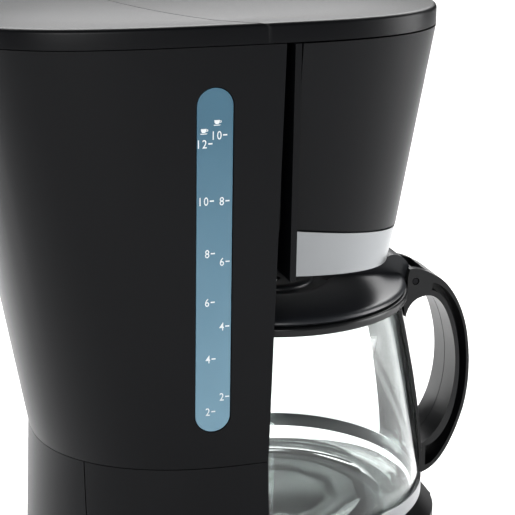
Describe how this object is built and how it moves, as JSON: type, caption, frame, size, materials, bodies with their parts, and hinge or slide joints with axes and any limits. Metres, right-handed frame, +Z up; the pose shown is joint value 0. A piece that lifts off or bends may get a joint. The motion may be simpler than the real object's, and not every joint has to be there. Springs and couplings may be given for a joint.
{
  "type": "drip coffee maker",
  "caption": "Drip coffee maker with an oval water column, blue level window, swing-out filter housing with a steel trim, hot plate and glass jug with a hinged lid.",
  "frame": {"origin": "on the table, under the middle of the outer box", "axes": "+X to the front where the jug is put in, +Y towards the side with the filter housing's hinge, +Z up"},
  "size_m": [0.2568, 0.166, 0.2919],
  "materials": {
    "moulded_black": "satin moulded polypropylene with a fine texture",
    "gloss_black": "glossy moulded polypropylene",
    "foot_rubber": "matt moulded rubber",
    "steel": "brushed stainless steel",
    "plate_coating": "non-stick coating on a pressed steel plate",
    "heater_aluminium": "extruded aluminium, as drawn",
    "silicone": "translucent white silicone",
    "clear_plastic": "milky translucent polypropylene",
    "gauge_blue": "blue translucent styrene with white print",
    "jug_glass": "clear blown borosilicate glass",
    "lead_red": "silicone-insulated lead"
  },
  "bodies": {
    "machine": {"base_shell": "moulded_black", "base_rear_cover": "moulded_black", "base_plate": "moulded_black", "foot_front_left": "foot_rubber", "foot_front_right": "foot_rubber", "foot_rear_left": "foot_rubber", "foot_rear_right": "foot_rubber", "base_screw_1": "steel", "base_screw_2": "steel", "base_screw_3": "steel", "base_screw_4": "steel", "hot_plate": "plate_coating", "plate_seal": "silicone", "heater_tube": "heater_aluminium", "heater_clamp": "steel", "clamp_screw": "steel", "thermostat": "steel", "thermal_fuse": "clear_plastic", "cold_hose": "silicone", "riser_tube": "silicone", "check_valve": "clear_plastic", "outlet_grommet": "silicone", "switch_frame": "gloss_black", "cord_gland": "foot_rubber", "lead_live": "lead_red", "lead_neutral": "lead_red", "tank_body": "moulded_black", "gauge_window": "gauge_blue", "tank_lid_pin": "steel", "front_cap": "moulded_black", "head_plate": "moulded_black", "spray_head": "clear_plastic", "housing_pin": "steel"},
    "tank_lid": {"tank_lid": "moulded_black"},
    "filter_unit": {"filter_housing": "moulded_black", "trim_band": "steel", "filter_basket": "gloss_black", "valve_seal": "silicone", "valve_bridge": "gloss_black", "valve_spring": "steel"},
    "drip_valve": {"valve_plunger": "silicone"},
    "jug": {"jug_glass": "jug_glass", "jug_collar": "moulded_black", "jug_band": "steel", "band_screw": "steel", "jug_handle": "moulded_black", "jug_pin": "steel"},
    "jug_lid": {"carafe_lid": "moulded_black"},
    "rocker": {"rocker_switch": "gloss_black"}
  },
  "joints": [
    {"name": "tank_lid_hinge", "type": "hinge", "parent": "machine", "child": "tank_lid", "pos_m": [-0.12552, 0, 0.27897], "axis": [0, -1, 0], "range_deg": [0, 95]},
    {"name": "housing_swing", "type": "hinge", "parent": "machine", "child": "filter_unit", "pos_m": [0.02318, 0.072, 0.226], "axis": [0, 0, 1], "range_deg": [0, 95]},
    {"name": "drip_valve_lift", "type": "slide", "parent": "filter_unit", "child": "drip_valve", "axis": [0, 0, 1], "range_m": [0, 0.003], "stiffness_N_per_m": 60, "springref_m": -0.004, "deforming": ["valve_spring"]},
    {"name": "jug_slide", "type": "slide", "parent": "machine", "child": "jug", "axis": [1, 0, 0], "range_m": [0, 0.17]},
    {"name": "jug_lid_hinge", "type": "hinge", "parent": "jug", "child": "jug_lid", "pos_m": [0.09857, 0, 0.1474], "axis": [0, 1, 0], "range_deg": [0, 5]},
    {"name": "rocker_tilt", "type": "hinge", "parent": "machine", "child": "rocker", "pos_m": [0.10737, 0, 0.0182], "axis": [0, -1, 0], "range_deg": [0, 10]}
  ]
}
